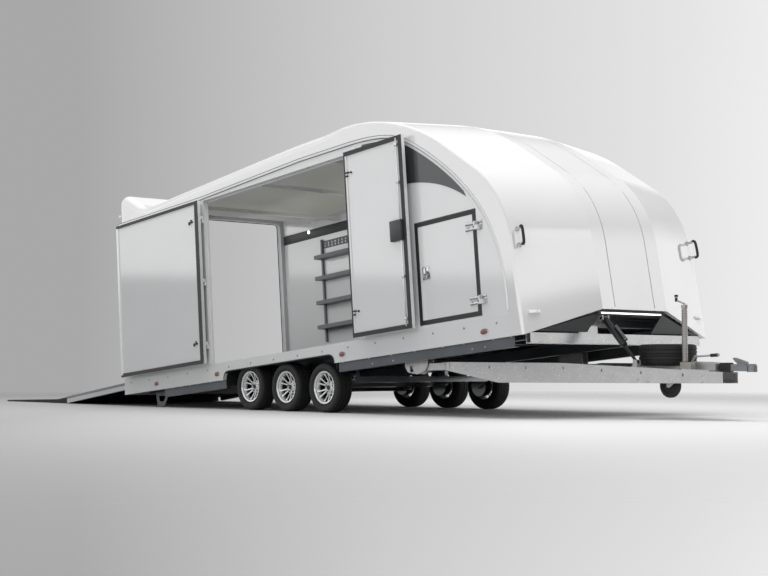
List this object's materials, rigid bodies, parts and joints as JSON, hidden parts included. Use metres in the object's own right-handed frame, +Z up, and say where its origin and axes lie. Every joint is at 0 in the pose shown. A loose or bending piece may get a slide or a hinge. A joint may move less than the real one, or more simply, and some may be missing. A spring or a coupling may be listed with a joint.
{
  "type": "enclosed car trailer",
  "caption": "Enclosed tilting car trailer with a hinged drawbar, folding side doors, a locker door and a rear ramp.",
  "frame": {"origin": "centre of the tow ball in the coupling socket", "axes": "+X forward along the tow direction, +Y to the left, +Z up; the body stands tilted nose-up"},
  "size_m": [11.9294, 2.6883, 2.9566],
  "materials": {
    "gelcoat_white": "gloss gelcoat",
    "wall_panel": "satin white coat",
    "skirt_paint": "satin white coat",
    "frame_anodised": "anodised",
    "portal_paint": "satin light grey",
    "floor_ply": "phenolic film",
    "deck_black": "black grit coat",
    "dark_panel": "matt",
    "rack_grey": "powder coat",
    "galvanised": "hot-dip galvanised",
    "axle_steel": "galvanised",
    "lamp_lens": "moulded lens",
    "handle_chrome": "plated",
    "tyre_rubber": "matt",
    "alloy": "silver lacquer",
    "black_rubber": "matt",
    "coupling_cast": "zinc plated",
    "ram_black": "gloss black",
    "ram_chrome": "hard chrome"
  },
  "bodies": {
    "bed": {"roof_shell": "gelcoat_white", "left_wall": "wall_panel", "right_rear_wall": "wall_panel", "right_front_wall": "wall_panel", "doorway_frame": "frame_anodised", "skirts": "skirt_paint", "floor_deck": "floor_ply", "rear_frame": "portal_paint", "nose_underside": "dark_panel", "roof_beams": "frame_anodised", "side_rack": "rack_grey", "chassis_rails": "galvanised", "cross_bearers": "galvanised", "wheel_boxes": "dark_panel", "hinge_brackets": "galvanised", "front_crossmember": "galvanised", "steady_legs": "galvanised", "lamps": "lamp_lens", "grab_handles": "handle_chrome", "axle_front": "axle_steel", "axle_middle": "axle_steel", "axle_rear": "axle_steel"},
    "wheel_front_left": {"tyre_front_left": "tyre_rubber", "rim_front_left": "alloy"},
    "wheel_front_right": {"tyre_front_right": "tyre_rubber", "rim_front_right": "alloy"},
    "wheel_middle_left": {"tyre_middle_left": "tyre_rubber", "rim_middle_left": "alloy"},
    "wheel_middle_right": {"tyre_middle_right": "tyre_rubber", "rim_middle_right": "alloy"},
    "wheel_rear_left": {"tyre_rear_left": "tyre_rubber", "rim_rear_left": "alloy"},
    "wheel_rear_right": {"tyre_rear_right": "tyre_rubber", "rim_rear_right": "alloy"},
    "drawbar": {"drawbar_frame": "galvanised", "overrun_housing": "galvanised", "overrun_bellows": "black_rubber", "coupling_head": "coupling_cast", "handbrake_lever": "galvanised", "jockey_post": "galvanised", "spare_tyre": "tyre_rubber", "spare_rim": "alloy"},
    "jockey_leg": {"jockey_fork": "galvanised"},
    "jockey_roller": {"jockey_wheel": "black_rubber"},
    "ram_barrel": {"ram_barrel": "ram_black"},
    "ram_rod": {"ram_rod": "ram_chrome"},
    "rear_side_door": {"rear_side_door": "wall_panel"},
    "front_side_door": {"front_side_door": "wall_panel", "side_door_lock": "ram_black"},
    "locker_door": {"locker_door": "wall_panel"},
    "ramp": {"ramp_rails": "frame_anodised", "ramp_deck": "deck_black"},
    "ramp_flap": {"ramp_flap": "deck_black"}
  },
  "joints": [
    {"name": "wheel_front_left_spin", "type": "hinge", "parent": "bed", "child": "wheel_front_left", "pos_m": [-4.432, 1.14, -0.185], "axis": [0, 1, 0], "continuous": true},
    {"name": "wheel_front_right_spin", "type": "hinge", "parent": "bed", "child": "wheel_front_right", "pos_m": [-4.432, -1.14, -0.185], "axis": [0, 1, 0], "continuous": true},
    {"name": "wheel_middle_left_spin", "type": "hinge", "parent": "bed", "child": "wheel_middle_left", "pos_m": [-5.1, 1.14, -0.185], "axis": [0, 1, 0], "continuous": true},
    {"name": "wheel_middle_right_spin", "type": "hinge", "parent": "bed", "child": "wheel_middle_right", "pos_m": [-5.1, -1.14, -0.185], "axis": [0, 1, 0], "continuous": true},
    {"name": "wheel_rear_left_spin", "type": "hinge", "parent": "bed", "child": "wheel_rear_left", "pos_m": [-5.768, 1.14, -0.185], "axis": [0, 1, 0], "continuous": true},
    {"name": "wheel_rear_right_spin", "type": "hinge", "parent": "bed", "child": "wheel_rear_right", "pos_m": [-5.768, -1.14, -0.185], "axis": [0, 1, 0], "continuous": true},
    {"name": "drawbar_hinge", "type": "hinge", "parent": "bed", "child": "drawbar", "pos_m": [-2.95, 0, 0.025], "axis": [0, -1, 0], "range_deg": [0, 6.5]},
    {"name": "jockey_slide", "type": "slide", "parent": "drawbar", "child": "jockey_leg", "axis": [0, 0, -1], "range_m": [0, 0.19]},
    {"name": "jockey_spin", "type": "hinge", "parent": "jockey_leg", "child": "jockey_roller", "pos_m": [-0.775, -0.14, -0.14], "axis": [0, 1, 0], "continuous": true},
    {"name": "ram_swing", "type": "hinge", "parent": "bed", "child": "ram_barrel", "pos_m": [-1.36679, -0.35, 0.47182], "axis": [0, -1, 0], "range_deg": [0, 20.2]},
    {"name": "ram_slide", "type": "slide", "parent": "ram_barrel", "child": "ram_rod", "axis": [-0.6888, 0, 0.7249], "range_m": [0, 0.1483]},
    {"name": "rear_side_door_hinge", "type": "hinge", "parent": "bed", "child": "rear_side_door", "pos_m": [-6.57163, -1.305, 1.00858], "axis": [-0.0894, 0, 0.996], "range_deg": [0, 180]},
    {"name": "front_side_door_hinge", "type": "hinge", "parent": "bed", "child": "front_side_door", "pos_m": [-3.83663, -1.305, 1.25411], "axis": [0.0894, 0, -0.996], "range_deg": [0, 180]},
    {"name": "locker_door_hinge", "type": "hinge", "parent": "bed", "child": "locker_door", "pos_m": [-2.04722, -1.305, 0.98303], "axis": [-0.0894, 0, 0.996], "range_deg": [0, 120]},
    {"name": "ramp_hinge", "type": "hinge", "parent": "bed", "child": "ramp", "pos_m": [-8.44587, 0, -0.16873], "axis": [0, 1, 0], "range_deg": [0, 92.02]},
    {"name": "ramp_flap_hinge", "type": "hinge", "parent": "ramp", "child": "ramp_flap", "pos_m": [-10.5484, 0, -0.41635], "axis": [0, 1, 0], "range_deg": [0, 170]}
  ],
  "couplings": [
    {"joint": "ram_swing", "follows": "drawbar_hinge", "ratio": 3.1074},
    {"joint": "ram_slide", "follows": "drawbar_hinge", "m_per_rad": 1.3072}
  ]
}
